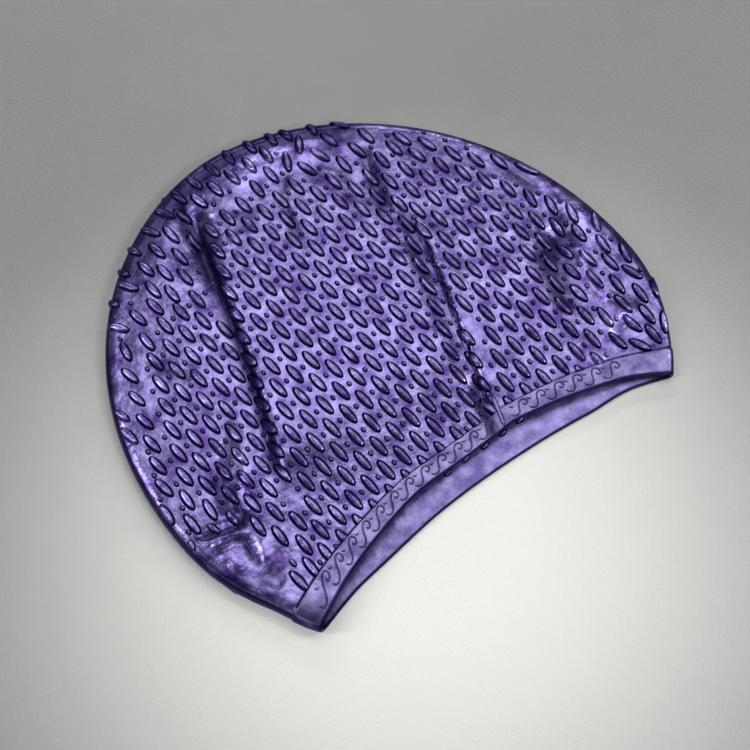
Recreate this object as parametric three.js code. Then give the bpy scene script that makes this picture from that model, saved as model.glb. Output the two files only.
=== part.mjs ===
import * as THREE from 'three';

// Moulded swim cap lying flat: one open pocket of rubber sheet with a raised hem band.
// Millimetres. +X runs along the mouth, +Y from the mouth to the crown, +Z up.

// Overall sizes
const CAP_WIDTH = 226.7;
const CAP_DEPTH = 194.7;
const MOUTH_WIDTH = 176.4;
const WIDEST_HEIGHT = 63;
const UPPER_MOUTH_SAG = 22.3;
const LOWER_MOUTH_SAG = 10.5;

// Sheet, hem band and rolled side
const WALL = 1.1;
const HEM_WIDTH = 9.2;
const HEM_RISE = 0.5;
const HEM_EDGE = 0.3;
const ROLL_RADIUS = 5;

// The roll tightens to this radius at the right end of the mouth, over this share of CAP_WIDTH
const RIGHT_END_RADIUS = 2.4;
const TIGHTEN_REACH = 0.24;

// Lie of the upper layer
const MOUTH_DROOP = 3.4;
const DROOP_REACH = 0.3;
const CENTRE_SWELL = 0.9;
const RELIEF_START = 4;
const RELIEF_FULL = 16;

// Shape of the outline: how full the crown is and how the sides draw in to the mouth
const CROWN_RISE_POWER = 2.07;
const CROWN_WIDTH_POWER = 1.83;
const SIDE_DRAW_POWER = 2.26;
const MOUTH_SAG_POWER = 2.2;
const SAG_FADE_POWER = 1.6;
const CROWN_LEAN = -0.042;
const CROWN_LEAN_BEND = -0.018;

// Facets
const SIDE_ROWS = 34;
const ROLL_STEPS = 8;
const UPPER_SPACING = 4.6;
const LOWER_SPACING = 12;

// Folds in the upper layer. rise, reach: height and width of the high side, right of the line.
// drop, run: depth and width of the low side, left of it. face: width of the steep face between.
// All five are shares of ROLL_RADIUS.
// Points run from crown to mouth, x as a share of CAP_WIDTH and y as a share of CAP_DEPTH.
const FOLDS = [
  {
    name: 'long_left_fold', rise: 0.34, reach: 9, drop: 0.5, run: 4.4, face: 1.2,
    points: [
      { x: -0.142, y: 0.9 },
      { x: -0.165, y: 0.82 },
      { x: -0.195, y: 0.68 },
      { x: -0.225, y: 0.545 },
      { x: -0.25, y: 0.455 },
      { x: -0.288, y: 0.333 },
      { x: -0.306, y: 0.265 },
    ],
  },
  {
    name: 'middle_crease', rise: 0.14, reach: 3, drop: 0.34, run: 2.6, face: 1.2,
    points: [
      { x: 0.187, y: 0.63 },
      { x: 0.174, y: 0.545 },
      { x: 0.156, y: 0.47 },
      { x: 0.13, y: 0.372 },
      { x: 0.1, y: 0.25 },
      { x: 0.083, y: 0.193 },
      { x: 0.076, y: 0.145 },
    ],
  },
];

// Soft hollows in the upper layer. x, y: middle, as shares of CAP_WIDTH and CAP_DEPTH.
// long, wide, depth: half length, half width and depth, as shares of ROLL_RADIUS. turn: degrees.
const DIPS = [
  { name: 'right_dent', x: 0.382, y: 0.385, turn: 77, long: 2.6, wide: 1.5, depth: 0.42 },
  { name: 'upper_left', x: -0.162, y: 0.865, turn: 74, long: 3, wide: 1.7, depth: 0.3 },
  { name: 'upper_right', x: 0.148, y: 0.75, turn: 79, long: 3.4, wide: 1.5, depth: 0.24 },
  { name: 'lower_left', x: -0.362, y: 0.372, turn: 67, long: 4.4, wide: 1.5, depth: 0.28 },
];

function clamp(value, low, high) {
  return Math.min(Math.max(value, low), high);
}

function smoothStep(low, high, value) {
  const share = clamp((value - low) / (high - low), 0, 1);
  return share * share * (3 - 2 * share);
}

// One at the line, falling smoothly to nothing at the end of the reach
function fallOff(distance, reach) {
  const share = clamp(distance / reach, 0, 1);
  return (1 - share) * (1 - share) * (1 + 2 * share);
}

// Outline of the flat cap: half its width, and the middle of that width, at a height y
function halfWidth(y) {
  if (y >= WIDEST_HEIGHT) {
    const up = clamp((y - WIDEST_HEIGHT) / (CAP_DEPTH - WIDEST_HEIGHT), 0, 1);
    return (CAP_WIDTH / 2) * (1 - up ** CROWN_RISE_POWER) ** (1 / CROWN_WIDTH_POWER);
  }
  const down = (WIDEST_HEIGHT - y) / WIDEST_HEIGHT;
  return CAP_WIDTH / 2 - ((CAP_WIDTH - MOUTH_WIDTH) / 2) * down ** SIDE_DRAW_POWER;
}

function middle(y) {
  const share = y / CAP_DEPTH;
  return CAP_WIDTH * (CROWN_LEAN * share + CROWN_LEAN_BEND * share * share);
}

// A row across one layer bows towards the crown, most of all at the mouth
function rowSag(layer, y) {
  const sag = layer > 0 ? UPPER_MOUTH_SAG : LOWER_MOUTH_SAG;
  return sag * (1 - y / CAP_DEPTH) ** SAG_FADE_POWER;
}

function rowHeight(layer, rimY, x) {
  const across = clamp(Math.abs(x - middle(rimY)) / halfWidth(rimY), 0, 1);
  return rimY + rowSag(layer, rimY) * (1 - across ** MOUTH_SAG_POWER);
}

// Heights where the rows meet the rim: the hem band first, then even steps along the rim
function rowHeights() {
  const fine = [{ y: 0, length: 0 }];
  const count = 600;
  for (let i = 1; i <= count; i += 1) {
    const y = CAP_DEPTH * Math.sin((Math.PI / 2) * (i / count));
    const last = fine[i - 1];
    const step = Math.hypot(y - last.y, halfWidth(y) - halfWidth(last.y));
    fine.push({ y, length: last.length + step });
  }
  const total = fine[count].length;
  const heights = [0, HEM_WIDTH / 2, HEM_WIDTH, HEM_WIDTH + HEM_EDGE];
  const start = fine.find((point) => point.y >= HEM_WIDTH + HEM_EDGE).length;
  for (let k = 1; k <= SIDE_ROWS; k += 1) {
    const length = start + ((total - start) * k) / SIDE_ROWS;
    heights.push(fine.find((point) => point.length >= length - 1e-9).y);
  }
  return heights;
}

// Rim stations from the left end of the mouth over the crown to the right end
function rimStations(heights) {
  const last = heights.length - 1;
  const stations = [];
  for (let row = 0; row <= last; row += 1) {
    stations.push({ row, side: -1, x: middle(heights[row]) - halfWidth(heights[row]), y: heights[row] });
  }
  for (let row = last - 1; row >= 0; row -= 1) {
    stations.push({ row, side: 1, x: middle(heights[row]) + halfWidth(heights[row]), y: heights[row] });
  }
  stations.forEach((station, index) => {
    const before = stations[Math.max(index - 1, 0)];
    const after = stations[Math.min(index + 1, stations.length - 1)];
    const length = Math.hypot(after.x - before.x, after.y - before.y);
    station.inX = (after.y - before.y) / length;
    station.inY = -(after.x - before.x) / length;
  });
  return stations;
}

// Way inwards from the rim: along the mouth at its two ends, square to the rim elsewhere
function wayIn(station, layer) {
  const slope = (rowSag(layer, station.y) * MOUTH_SAG_POWER) / Math.max(halfWidth(station.y), WALL);
  const alongLength = Math.hypot(1, slope);
  const blend = station.row === 0 ? 0 : smoothStep(0, CAP_DEPTH / 4, station.y);
  const x = (1 - blend) * (-station.side / alongLength) + blend * station.inX;
  const y = (1 - blend) * (slope / alongLength) + blend * station.inY;
  const square = x * station.inX + y * station.inY;
  return { x: x / square, y: y / square };
}

// Nearest point of a chain of points: how far, on which side and how far along
function nearestOnChain(chain, x, y) {
  const best = { distance: Infinity, side: 1, share: 0 };
  for (let i = 0; i < chain.length - 1; i += 1) {
    const a = chain[i];
    const b = chain[i + 1];
    const dx = b.x - a.x;
    const dy = b.y - a.y;
    const t = clamp(((x - a.x) * dx + (y - a.y) * dy) / (dx * dx + dy * dy), 0, 1);
    const offX = x - a.x - dx * t;
    const offY = y - a.y - dy * t;
    const distance = Math.hypot(offX, offY);
    if (distance < best.distance) {
      best.distance = distance;
      best.side = dx * offY - dy * offX > 0 ? 1 : -1;
      best.share = (i + t) / (chain.length - 1);
      best.x = a.x + dx * t;
      best.y = a.y + dy * t;
    }
  }
  return best;
}

function rollRadius(x, y) {
  const distance = Math.hypot(x - middle(0) - halfWidth(0), y);
  const tighten = fallOff(distance, TIGHTEN_REACH * CAP_WIDTH);
  return ROLL_RADIUS - (ROLL_RADIUS - RIGHT_END_RADIUS) * tighten;
}

// Height that one fold adds: a high side, a steep face and a low side that rises again slowly
function foldRise(fold, x, y) {
  const chain = fold.points.map((p) => ({ x: p.x * CAP_WIDTH, y: p.y * CAP_DEPTH }));
  const near = nearestOnChain(chain, x, y);
  const right = near.distance * near.side;
  const face = (fold.face * ROLL_RADIUS) / 2;
  const high = smoothStep(-face, face, right);
  const up = fold.rise * fallOff(Math.max(right, 0), fold.reach * ROLL_RADIUS);
  const down = fold.drop * fallOff(Math.max(-right, 0), fold.run * ROLL_RADIUS);
  const ends = smoothStep(0, 0.22, near.share) * smoothStep(0, 0.22, 1 - near.share);
  return ROLL_RADIUS * ends * (high * up - (1 - high) * down);
}

// Depth that one soft hollow takes away, fading smoothly from its middle
function dipDepth(dip, x, y) {
  const angle = THREE.MathUtils.degToRad(dip.turn);
  const offX = x - dip.x * CAP_WIDTH;
  const offY = y - dip.y * CAP_DEPTH;
  const along = (offX * Math.cos(angle) + offY * Math.sin(angle)) / (dip.long * ROLL_RADIUS);
  const across = (offY * Math.cos(angle) - offX * Math.sin(angle)) / (dip.wide * ROLL_RADIUS);
  return dip.depth * ROLL_RADIUS * Math.exp(-along * along - across * across);
}

// Height of the upper layer above the lower one: the roll's own height near the rim, and
// further in the local one with its folds and hollows
function upperHeight(rim, x, y, rimY) {
  const near = nearestOnChain(rim, x, y);
  const fade = smoothStep(RELIEF_START, RELIEF_FULL, near.distance);
  const across = (x - middle(rimY)) / halfWidth(rimY);
  const mouth = (1 - across * across) * (1 - smoothStep(0, CAP_DEPTH * DROOP_REACH, rimY));
  let height = CENTRE_SWELL * (1 - across * across) - (MOUTH_DROOP + CENTRE_SWELL) * mouth;
  FOLDS.forEach((fold) => {
    height += foldRise(fold, x, y);
  });
  DIPS.forEach((dip) => {
    height -= dipDepth(dip, x, y);
  });
  return (1 - fade) * 2 * rollRadius(near.x, near.y) + fade * (2 * rollRadius(x, y) + height);
}

// Crown skin, before it is given its thickness. proud: how far the surface stands out here
function buildSkin() {
  const heights = rowHeights();
  const rim = rimStations(heights);
  const last = heights.length - 1;
  const points = [];
  const faces = [];
  const rimColumns = [];
  const proudOf = (row) => (heights[row] <= HEM_WIDTH ? HEM_RISE : 0);
  const bottom = HEM_RISE;
  const addPoint = (x, y, z, row) => points.push({ x, y, z, proud: proudOf(row) }) - 1;

  // Rolled side, from the top of the roll round to its underside
  rim.forEach((station) => {
    const column = [];
    const radius = rollRadius(station.x, station.y);
    for (let k = 0; k <= ROLL_STEPS; k += 1) {
      const angle = Math.PI * (0.5 - k / ROLL_STEPS);
      const way = wayIn(station, angle > 0 ? 1 : -1);
      const inwards = radius * (1 - Math.cos(angle));
      const z = bottom + radius * (1 + Math.sin(angle));
      column.push(addPoint(station.x + way.x * inwards, station.y + way.y * inwards, z, station.row));
    }
    rimColumns.push(column);
  });
  for (let r = 0; r < rim.length - 1; r += 1) {
    for (let k = 0; k < ROLL_STEPS; k += 1) {
      const a = rimColumns[r][k];
      const b = rimColumns[r + 1][k];
      const c = rimColumns[r + 1][k + 1];
      const d = rimColumns[r][k + 1];
      faces.push([a, b, c], [a, c, d]);
    }
  }

  // Rows across a layer between the two rolled sides, closing to one point at the crown
  const layRow = (layer, row, spacing) => {
    const step = layer > 0 ? 0 : ROLL_STEPS;
    const left = rimColumns[row][step];
    const right = rimColumns[rim.length - 1 - row][step];
    if (row === last) {
      return [left];
    }
    const a = points[left];
    const b = points[right];
    const rimY = heights[row];
    const count = Math.max(1, Math.round((b.x - a.x) / spacing));
    const missA = a.y - rowHeight(layer, rimY, a.x);
    const missB = b.y - rowHeight(layer, rimY, b.x);
    const ids = [left];
    for (let j = 1; j < count; j += 1) {
      const share = j / count;
      const x = a.x + (b.x - a.x) * share;
      const y = rowHeight(layer, rimY, x) + missA * (1 - share) + missB * share;
      const z = layer > 0 ? bottom + upperHeight(rim, x, y, rimY) : bottom;
      ids.push(addPoint(x, y, z, row));
    }
    ids.push(right);
    return ids;
  };

  // Triangles between two rows with different counts of points
  const stitch = (lower, upper, layer) => {
    let i = 0;
    let j = 0;
    while (i < lower.length - 1 || j < upper.length - 1) {
      const nextI = (i + 1) / Math.max(lower.length - 1, 1);
      const nextJ = (j + 1) / Math.max(upper.length - 1, 1);
      const useLower = j === upper.length - 1 || (i < lower.length - 1 && nextI <= nextJ);
      const face = useLower ? [lower[i], lower[i + 1], upper[j]] : [lower[i], upper[j + 1], upper[j]];
      faces.push(layer > 0 ? face : [face[0], face[2], face[1]]);
      if (useLower) {
        i += 1;
      } else {
        j += 1;
      }
    }
  };
  [{ layer: 1, spacing: UPPER_SPACING }, { layer: -1, spacing: LOWER_SPACING }].forEach((sheet) => {
    let lower = layRow(sheet.layer, 0, sheet.spacing);
    for (let row = 1; row <= last; row += 1) {
      const upper = layRow(sheet.layer, row, sheet.spacing);
      stitch(lower, upper, sheet.layer);
      lower = upper;
    }
  });
  return { points, faces };
}

// Outward direction at each point of the skin
function skinNormals(points, faces) {
  const normals = points.map(() => new THREE.Vector3());
  faces.forEach((face) => {
    const [a, b, c] = face.map((id) => new THREE.Vector3(points[id].x, points[id].y, points[id].z));
    const normal = b.clone().sub(a).cross(c.clone().sub(a));
    face.forEach((id) => normals[id].add(normal));
  });
  return normals.map((normal) => normal.normalize());
}

// Closed wall: outer face with its hem, inner face one wall thickness inside, and the mouth's lip
function thicken(skin) {
  const normals = skinNormals(skin.points, skin.faces);
  const count = skin.points.length;
  const positions = [];
  [1, -1].forEach((face) => {
    skin.points.forEach((point, id) => {
      const off = face > 0 ? point.proud : -WALL;
      const normal = normals[id];
      positions.push(point.x + normal.x * off, point.y + normal.y * off, point.z + normal.z * off);
    });
  });
  const index = [];
  const used = new Set();
  skin.faces.forEach(([a, b, c]) => {
    index.push(a, b, c, count + a, count + c, count + b);
    used.add(`${a}:${b}`).add(`${b}:${c}`).add(`${c}:${a}`);
  });
  used.forEach((edge) => {
    const [a, b] = edge.split(':').map(Number);
    if (!used.has(`${b}:${a}`)) {
      index.push(b, a, count + a, b, count + a, count + b);
    }
  });
  const geometry = new THREE.BufferGeometry();
  geometry.setAttribute('position', new THREE.Float32BufferAttribute(positions, 3));
  geometry.setIndex(index);
  return geometry;
}

// Origin at the middle of the bounding box, on the surface that the cap lies on
function centreOnBase(geometry) {
  geometry.computeBoundingBox();
  const box = geometry.boundingBox;
  geometry.translate(-(box.min.x + box.max.x) / 2, -(box.min.y + box.max.y) / 2, -box.min.z);
  geometry.computeVertexNormals();
  return geometry;
}

const rubber = new THREE.MeshStandardMaterial({ color: 0x5a4596, roughness: 0.35, metalness: 0.4 });
const cap = new THREE.Mesh(centreOnBase(thicken(buildSkin())), rubber);
cap.name = 'cap';

const model = new THREE.Group();
model.name = 'swim_cap';
model.add(cap);

export default model;
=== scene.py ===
import math

import bpy
import numpy as np
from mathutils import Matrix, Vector


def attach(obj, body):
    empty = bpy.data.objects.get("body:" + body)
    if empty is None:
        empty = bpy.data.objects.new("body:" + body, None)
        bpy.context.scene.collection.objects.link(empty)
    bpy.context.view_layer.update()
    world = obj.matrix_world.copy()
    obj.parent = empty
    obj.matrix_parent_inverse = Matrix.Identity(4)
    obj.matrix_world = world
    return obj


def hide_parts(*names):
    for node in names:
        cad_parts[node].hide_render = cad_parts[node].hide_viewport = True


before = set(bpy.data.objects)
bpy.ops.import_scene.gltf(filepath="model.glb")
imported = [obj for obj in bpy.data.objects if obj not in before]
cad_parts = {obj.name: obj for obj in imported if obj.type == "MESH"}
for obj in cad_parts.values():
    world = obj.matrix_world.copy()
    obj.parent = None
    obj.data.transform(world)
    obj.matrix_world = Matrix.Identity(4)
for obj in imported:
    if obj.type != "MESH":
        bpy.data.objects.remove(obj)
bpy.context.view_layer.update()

# Sizes in millimetres, as in the part's source

CAP_WIDTH = 226.7
CAP_DEPTH = 194.7
MOUTH_WIDTH = 176.4
WIDEST_HEIGHT = 63.0
UPPER_MOUTH_SAG = 22.3
LOWER_MOUTH_SAG = 10.5
WALL = 1.1
HEM_WIDTH = 9.2
HEM_RISE = 0.5
HEM_EDGE = 0.3
ROLL_RADIUS = 5.0
RIGHT_END_RADIUS = 2.4
TIGHTEN_REACH = 0.24
MOUTH_DROOP = 3.4
DROOP_REACH = 0.3
CENTRE_SWELL = 0.9
RELIEF_START = 4.0
RELIEF_FULL = 16.0
CROWN_RISE_POWER = 2.07
CROWN_WIDTH_POWER = 1.83
SIDE_DRAW_POWER = 2.26
MOUTH_SAG_POWER = 2.2
SAG_FADE_POWER = 1.6
CROWN_LEAN = -0.042
CROWN_LEAN_BEND = -0.018
SCROLL_RISE = 0.3

# Camera in the cap's own plan, from the photo's perspective
CAMERA_AT = np.array([-127.5, -88.6, 548.0])
CAMERA_TO = np.array([-10.9, 73.3, 0.0])
PHOTO_FOCAL_PIXELS = 1400
PHOTO_PIXELS = 750

# Height of the crown wall's outer face where the lower layer lies
BOTTOM = HEM_RISE
TOP = BOTTOM + 2 * ROLL_RADIUS


def table(columns, rows):
    return [dict(zip(columns.split(), row)) for row in rows]


# Folds of the upper layer. rise, reach: height and width of the high side, right of the line.
# drop, run: depth and width of the low side. face: width of the steep face. Shares of ROLL_RADIUS.
# band, shade: width in mm and darkness of a strip of painted shade at the foot of the steep face.
FOLDS = [
    dict(name="long_left_fold", rise=0.34, reach=9, drop=0.5, run=4.4, face=0.85, band=5.4, shade=0.85,
         points=[(-0.142, 0.9), (-0.165, 0.82), (-0.195, 0.68), (-0.225, 0.545), (-0.25, 0.455),
                 (-0.288, 0.333), (-0.306, 0.265)]),
    dict(name="middle_crease", rise=0.14, reach=3, drop=0.34, run=2.6, face=0.4, band=2.6, shade=0.5,
         points=[(0.187, 0.63), (0.174, 0.545), (0.156, 0.47), (0.13, 0.372), (0.1, 0.25),
                 (0.083, 0.193), (0.076, 0.145)]),
]

# Soft hollows. x, y: middle, as shares of CAP_WIDTH and CAP_DEPTH. long, wide, depth: half length,
# half width and depth, as shares of ROLL_RADIUS. turn: degrees.
DIPS = table("name x y turn long wide depth", [
    ("right_dent", 0.382, 0.385, 77, 2.6, 1.5, 0.42),
    ("upper_left", -0.162, 0.865, 74, 3, 1.7, 0.3),
    ("upper_right", 0.148, 0.75, 79, 3.4, 1.5, 0.24),
    ("lower_left", -0.362, 0.372, 67, 4.4, 1.5, 0.28),
])

# Fine wrinkles. path: photo pixels along the valley. wide, depth: mm, a minus depth stands up.
# shade: painted shade along the wrinkle, how much darker its colour is painted; a minus paints a highlight.
WRINKLES = table("name wide depth shade path", [
    ("lower_left_valley", 2.3, 1.7, 0.85,
     [(178, 543), (200, 538), (222, 531), (238, 524), (243, 512), (236, 496), (232, 480)]),
    ("lower_left_lip", 1.5, -0.6, -0.15, [(196, 547), (214, 541), (232, 534), (248, 531)]),
    ("lower_left_arch", 1.7, 1.1, 0.8,
     [(206, 557), (217, 547), (232, 540), (246, 541), (255, 553), (259, 570)]),
    ("lower_left_side", 2.2, -0.5, 0.0, [(253, 522), (263, 542), (267, 562)]),
    ("lower_left_pillow", 4.0, -0.8, -0.25, [(205, 568), (228, 556), (244, 572)]),
    ("lower_left_bowl", 3.4, 0.8, 0.4, [(262, 570), (272, 578), (284, 586)]),
    ("small_fold", 3.1, 1.2, 0.7, [(234, 418), (228, 440), (222, 460), (219, 480), (222, 500), (228, 520)]),
    ("small_fold_edge", 1.6, -0.7, -0.2, [(252, 500), (244, 474), (240, 440)]),
    ("dent_dark", 5.0, 1.8, 0.6, [(574, 218), (558, 236), (556, 262), (562, 288), (580, 314)]),
    ("dent_ridge", 2.2, -0.7, -0.35, [(575, 243), (584, 262), (590, 282), (603, 300)]),
    ("dent_right", 2.0, 0.6, 0.45, [(606, 296), (622, 300), (636, 306)]),
    ("top_streak", 2.4, 1.1, 0.5, [(362, 142), (368, 166), (378, 190), (394, 216)]),
    ("top_streak_right", 2.6, 0.8, 0.5, [(398, 196), (408, 222), (418, 250), (428, 280)]),
    ("top_streak_left", 2.0, 0.5, 0.4, [(286, 168), (281, 194), (290, 222), (302, 246)]),
    ("top_ripple", 3.0, 0.5, 0.4, [(305, 176), (326, 166), (348, 172)]),
    ("rim_shadow_left", 4.6, 0.4, 1.0,
     [(112, 320), (128, 272), (152, 228), (182, 192), (214, 166), (246, 148), (286, 136), (340, 129),
      (400, 130)]),
    ("upper_left_hollow", 3.6, 1.6, 0.75, [(176, 200), (188, 220), (200, 240), (209, 264), (222, 294)]),
    ("upper_left_ridge", 2.4, -0.8, -0.25, [(206, 214), (218, 232), (232, 256)]),
    ("rim_bright_left", 3.8, -0.3, -0.5, [(226, 192), (250, 172), (276, 160), (304, 152), (330, 150)]),
    ("rim_shadow_side", 2.2, 0.0, 0.8,
     [(108, 330), (107, 370), (111, 410), (120, 442), (134, 476), (154, 508)]),
    ("rim_line_left", 1.3, 0.0, -0.5,
     [(120, 300), (116, 330), (115, 370), (118, 400), (127, 432), (140, 462)]),
    ("left_hollow", 3.0, 0.7, 0.3, [(140, 372), (170, 366), (196, 380)]),
    ("pleat_hollow", 2.8, 1.4, 0.75, [(470, 372), (481, 393), (489, 410), (497, 426), (502, 440)]),
    ("rim_shadow_low", 3.3, 0.1, 0.95,
     [(186, 546), (212, 568), (238, 583), (266, 600), (297, 616), (320, 628)]),
    ("hem_end_shadow", 4.2, 0.0, 0.9, [(292, 616), (306, 610), (334, 606)]),
    ("rim_line_low", 0.9, 0.0, -0.8,
     [(246, 584), (262, 594), (276, 601), (290, 606), (304, 614), (322, 622)]),
    ("right_wave", 2.6, 0.9, 0.35, [(616, 336), (630, 322), (642, 300)]),
    ("right_glint", 2.4, -0.4, -0.4, [(604, 322), (624, 312), (640, 318)]),
    ("right_end", 2.2, 0.4, 0.5, [(640, 346), (655, 347), (668, 338)]),
    ("rim_bright_right", 3.4, -0.3, -0.4, [(546, 194), (572, 206), (594, 224), (610, 244)]),
    ("top_right_hollow", 2.6, 0.6, 0.5, [(498, 156), (518, 172), (540, 190)]),
    ("hem_glint", 3.2, -0.2, -0.35, [(566, 368), (590, 360), (616, 352)]),
])


# How the cloth of the mouth lies off its even curve, in mm: place, reach, and the move of the lower
# layer and of the upper one
MOUTH_PULLS = table("name x y reach lower upper", [
    ("left_tip", -88, -1, 15, (-2.2, -2.0), (-2.2, -2.0)),
    ("left_edge", -52, 9, 20, (0, -0.9), (0, -0.6)),
    ("pleat_left", -4, 22, 18, (0, 0.2), (0, -1.3)),
    ("pleat_right", 23, 21, 8, (0, 0), (0, 0.6)),
    ("right_edge", 71, 5, 14, (0, 1.8), (0, 1.5)),
])
# A pull fades out at this many times its reach
PULL_SPREAD = 1.6
# Below the first height a point moves with the lower layer, above the second with the upper one
PULL_BETWEEN = (BOTTOM + 1, TOP - 4)


def smooth(low, high, value):
    share = np.clip((value - low) / (high - low), 0, 1)
    return share * share * (3 - 2 * share)


def fall_off(distance, reach):
    share = np.clip(distance / reach, 0, 1)
    return (1 - share) ** 2 * (1 + 2 * share)


def ends(share, fade):
    """1 along a line, falling to 0 at both of its ends."""
    return smooth(0, fade, share) * smooth(0, fade, 1 - share)


def unit(vectors):
    return vectors / np.maximum(np.linalg.norm(vectors, axis=1), 1e-9)[:, None]


def lengths(path):
    return np.r_[0, np.cumsum(np.hypot(*np.diff(path, axis=0).T))]


def evenly(path, count):
    length = lengths(path)
    even = np.linspace(0, length[-1], count)
    return np.c_[np.interp(even, length, path[:, 0]), np.interp(even, length, path[:, 1])]


def camera_axes():
    forward = (CAMERA_TO - CAMERA_AT) / np.linalg.norm(CAMERA_TO - CAMERA_AT)
    right = np.cross(forward, (0, 0, 1))
    right /= np.linalg.norm(right)
    return forward, right, np.cross(right, forward)


def seen_at(pixels, z):
    """Plan points at height z that the camera sees at these photo pixels."""
    forward, right, up = camera_axes()
    x = (pixels[:, 0] - PHOTO_PIXELS / 2) / PHOTO_FOCAL_PIXELS
    y = (pixels[:, 1] - PHOTO_PIXELS / 2) / PHOTO_FOCAL_PIXELS
    rays = forward + x[:, None] * right - y[:, None] * up
    reach = (z - CAMERA_AT[2]) / rays[:, 2]
    return (CAMERA_AT + rays * reach[:, None])[:, :2]


# Outline of the flat cap


def half_width(y):
    y = np.asarray(y, float)
    up = np.clip((y - WIDEST_HEIGHT) / (CAP_DEPTH - WIDEST_HEIGHT), 0, 1)
    down = np.clip((WIDEST_HEIGHT - y) / WIDEST_HEIGHT, 0, 2)
    crown = CAP_WIDTH / 2 * (1 - up**CROWN_RISE_POWER) ** (1 / CROWN_WIDTH_POWER)
    side = CAP_WIDTH / 2 - (CAP_WIDTH - MOUTH_WIDTH) / 2 * down**SIDE_DRAW_POWER
    return np.where(y >= WIDEST_HEIGHT, crown, side)


def middle(y):
    share = np.asarray(y, float) / CAP_DEPTH
    return CAP_WIDTH * (CROWN_LEAN * share + CROWN_LEAN_BEND * share**2)


def row_sag(layer, y):
    sag = UPPER_MOUTH_SAG if layer > 0 else LOWER_MOUTH_SAG
    return sag * (1 - np.clip(y, 0, CAP_DEPTH) / CAP_DEPTH) ** SAG_FADE_POWER


def row_height(layer, rim_y, x):
    across = np.clip(np.abs(x - middle(rim_y)) / np.maximum(half_width(rim_y), 1), 0, 1)
    return rim_y + row_sag(layer, rim_y) * (1 - across**MOUTH_SAG_POWER)


def rim_row(layer, x, y):
    """The height at which the row through (x, y) meets the rim, and the place across that row."""
    rim_y = np.array(y, float)
    for _ in range(12):
        reach = np.maximum(half_width(rim_y), 1)
        across = np.clip(np.abs(x - middle(rim_y)) / reach, 0, 1)
        rim_y = np.clip(y - row_sag(layer, rim_y) * (1 - across**MOUTH_SAG_POWER), -20, CAP_DEPTH)
    return rim_y, (x - middle(rim_y)) / np.maximum(half_width(rim_y), 1)


def rim_line(count):
    """Rim points from the left end of the mouth over the crown to the right end, evenly spaced."""
    y = CAP_DEPTH * np.sin(np.linspace(0, math.pi / 2, 1500))
    left = np.c_[middle(y) - half_width(y), y]
    right = np.c_[middle(y) + half_width(y), y][::-1]
    return evenly(np.vstack([left, right[1:]]), count)


RIM = rim_line(900)
RIM_ALONG = unit(np.gradient(RIM, axis=0))
RIM_IN = np.c_[RIM_ALONG[:, 1], -RIM_ALONG[:, 0]]


# The nearest rim point is sought among every 15th first, then among all of them within 26 mm
RIM_STEP = 15
RIM_NEAR = 26
# Points in one batch of that search
BATCH = 4000


def to_rim(points):
    """For plan points: signed distance inside the rim, the nearest rim point and the way inwards."""
    coarse = np.arange(0, len(RIM), RIM_STEP)
    near = coarse[np.argmin(((points[:, None, :] - RIM[coarse][None, :, :]) ** 2).sum(2), axis=1)]
    foot = RIM[near]
    way = RIM_IN[near]
    rest = points - foot
    off = np.hypot(rest[:, 0], rest[:, 1])
    inside = np.where((rest * way).sum(1) < 0, -off, off)
    close = np.nonzero(off < RIM_NEAR)[0]
    for start in range(0, len(close), BATCH):
        ids = close[start:start + BATCH]
        part = points[ids]
        off = part[:, None, :] - RIM[None, :, :]
        near = np.argmin((off**2).sum(2), axis=1)
        pick = np.arange(len(part))
        along = (off[pick, near] * RIM_ALONG[near]).sum(1)
        along = np.clip(along, -0.6, 0.6)
        at = RIM[near] + RIM_ALONG[near] * along[:, None]
        rest = part - at
        signed = (rest * RIM_IN[near]).sum(1)
        distance = np.hypot(rest[:, 0], rest[:, 1])
        inside[ids] = np.where(signed < 0, -distance, distance)
        foot[ids] = at
        way[ids] = RIM_IN[near]
    return inside, foot, way


def to_chain(chain, points):
    """Signed distance from a chain of points, right side positive, and the share along it."""
    best = np.full(len(points), 1e9)
    side = np.ones(len(points))
    share = np.zeros(len(points))
    count = len(chain) - 1
    for i in range(count):
        a = chain[i]
        d = chain[i + 1] - a
        t = np.clip(((points - a) @ d) / (d @ d), 0, 1)
        off = points - a - t[:, None] * d
        distance = np.hypot(off[:, 0], off[:, 1])
        closer = distance < best
        best = np.where(closer, distance, best)
        side = np.where(closer, np.where(d[0] * off[:, 1] - d[1] * off[:, 0] > 0, 1, -1), side)
        share = np.where(closer, (i + t) / count, share)
    return best * side, share


def fold_line(fold):
    return np.array(fold["points"]) * (CAP_WIDTH, CAP_DEPTH)


def fold_rise(fold, points):
    right, share = to_chain(fold_line(fold), points)
    face = fold["face"] * ROLL_RADIUS / 2
    high = smooth(-face, face, right)
    up = fold["rise"] * fall_off(np.maximum(right, 0), fold["reach"] * ROLL_RADIUS)
    down = fold["drop"] * fall_off(np.maximum(-right, 0), fold["run"] * ROLL_RADIUS)
    return ROLL_RADIUS * ends(share, 0.22) * (high * up - (1 - high) * down)


def near_wrinkle(wrinkle, points, fade):
    """1 on a wrinkle's line, falling to 0 across it and at its ends."""
    away, share = to_chain(seen_at(np.array(wrinkle["path"], float), TOP), points)
    return ends(share, fade) * np.exp(-(away / wrinkle["wide"]) ** 2)


# Most painted shade and most painted highlight: 0 is the skin's own colour and 1 the painted shade colour
MOST_PAINTED_SHADE = 0.85
MOST_PAINTED_HIGHLIGHT = -0.5


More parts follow.
